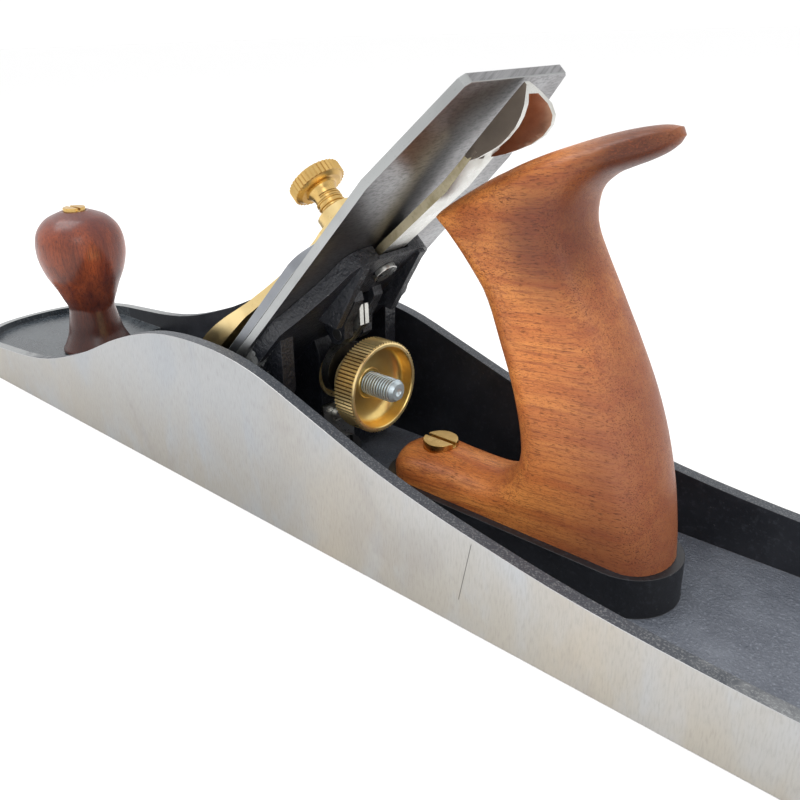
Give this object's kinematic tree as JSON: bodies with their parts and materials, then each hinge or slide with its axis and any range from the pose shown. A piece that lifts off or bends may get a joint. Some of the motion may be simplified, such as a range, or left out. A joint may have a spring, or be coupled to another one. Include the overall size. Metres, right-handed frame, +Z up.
{
  "type": "jointer plane",
  "caption": "Long adjustable metal bench plane with a slim cast body, brass lever cap and depth wheel, and a dark wooden knob and handle.",
  "frame": {"origin": "centre of the sole's underside", "axes": "+X from the toe to the heel, +Y to the right of a user pushing towards the toe, +Z up from the sole"},
  "size_m": [0.559, 0.075, 0.1367],
  "materials": {
    "casting": "satin ground sides, black japanned inside",
    "japanning": "black japanned casting",
    "iron_steel": "ground tool steel",
    "nickel": "worn bright plate",
    "dark_steel": "dull machine screw",
    "brass": "satin brass",
    "bronze_cap": "brushed pale brass",
    "knob_wood": "dark red lacquered hardwood",
    "tote_wood": "satin lacquered hardwood"
  },
  "bodies": {
    "base": {"body": "casting", "frog_screws": "dark_steel", "frog_washers": "dark_steel", "knob": "knob_wood", "knob_rod": "dark_steel", "knob_nut": "brass", "tote": "tote_wood", "tote_rod": "dark_steel", "tote_nut": "brass", "tote_screw": "brass"},
    "frog_unit": {"frog": "japanning", "frog_clip": "nickel", "frog_clip_screw": "nickel", "adjuster_stud": "nickel", "yoke_pin": "dark_steel", "lateral_pivot": "nickel", "lever_cap_screw": "nickel", "lever_cap": "bronze_cap"},
    "frog_adjuster": {"frog_adjusting_screw": "dark_steel"},
    "wheel": {"adjuster_wheel": "brass"},
    "yoke": {"yoke_left": "nickel", "yoke_right": "nickel"},
    "blade": {"iron": "iron_steel", "cap_iron": "iron_steel", "cap_iron_screw": "dark_steel"},
    "lateral": {"lateral_lever": "nickel", "lateral_roller": "nickel"},
    "cap_screw": {"thumbscrew": "brass"}
  },
  "joints": [
    {"name": "frog_screw_turn", "type": "hinge", "parent": "frog_unit", "child": "frog_adjuster", "pos_m": [-0.055, 0, 0.013], "axis": [1, 0, 0], "range_deg": [-365, 365]},
    {"name": "frog_slide", "type": "slide", "parent": "base", "child": "frog_unit", "axis": [-1, 0, 0], "range_m": [-0.001, 0.001]},
    {"name": "wheel_turn", "type": "hinge", "parent": "frog_unit", "child": "wheel", "pos_m": [-0.033, 0, 0.0405], "axis": [1, 0, 0], "range_deg": [-180, 180]},
    {"name": "yoke_swing", "type": "hinge", "parent": "frog_unit", "child": "yoke", "pos_m": [-0.0388, 0, 0.0573], "axis": [0, -1, 0], "range_deg": [-2, 2]},
    {"name": "blade_slide", "type": "slide", "parent": "frog_unit", "child": "blade", "axis": [-0.7071, 0, -0.7071], "range_m": [-0.00045, 0.00045]},
    {"name": "lateral_swing", "type": "hinge", "parent": "frog_unit", "child": "lateral", "pos_m": [-0.02554, 0, 0.08167], "axis": [-0.7071, 0, 0.7071], "range_deg": [-5, 5]},
    {"name": "thumbscrew_turn", "type": "hinge", "parent": "frog_unit", "child": "cap_screw", "pos_m": [-0.04287, 0, 0.09546], "axis": [-0.7071, 0, 0.7071], "range_deg": [0, 720]}
  ],
  "couplings": [
    {"joint": "frog_screw_turn", "follows": "frog_slide", "rad_per_m": 6283.2},
    {"joint": "wheel_turn", "follows": "blade_slide", "rad_per_m": 6757.8},
    {"joint": "yoke_swing", "follows": "blade_slide", "rad_per_m": 70.422}
  ]
}
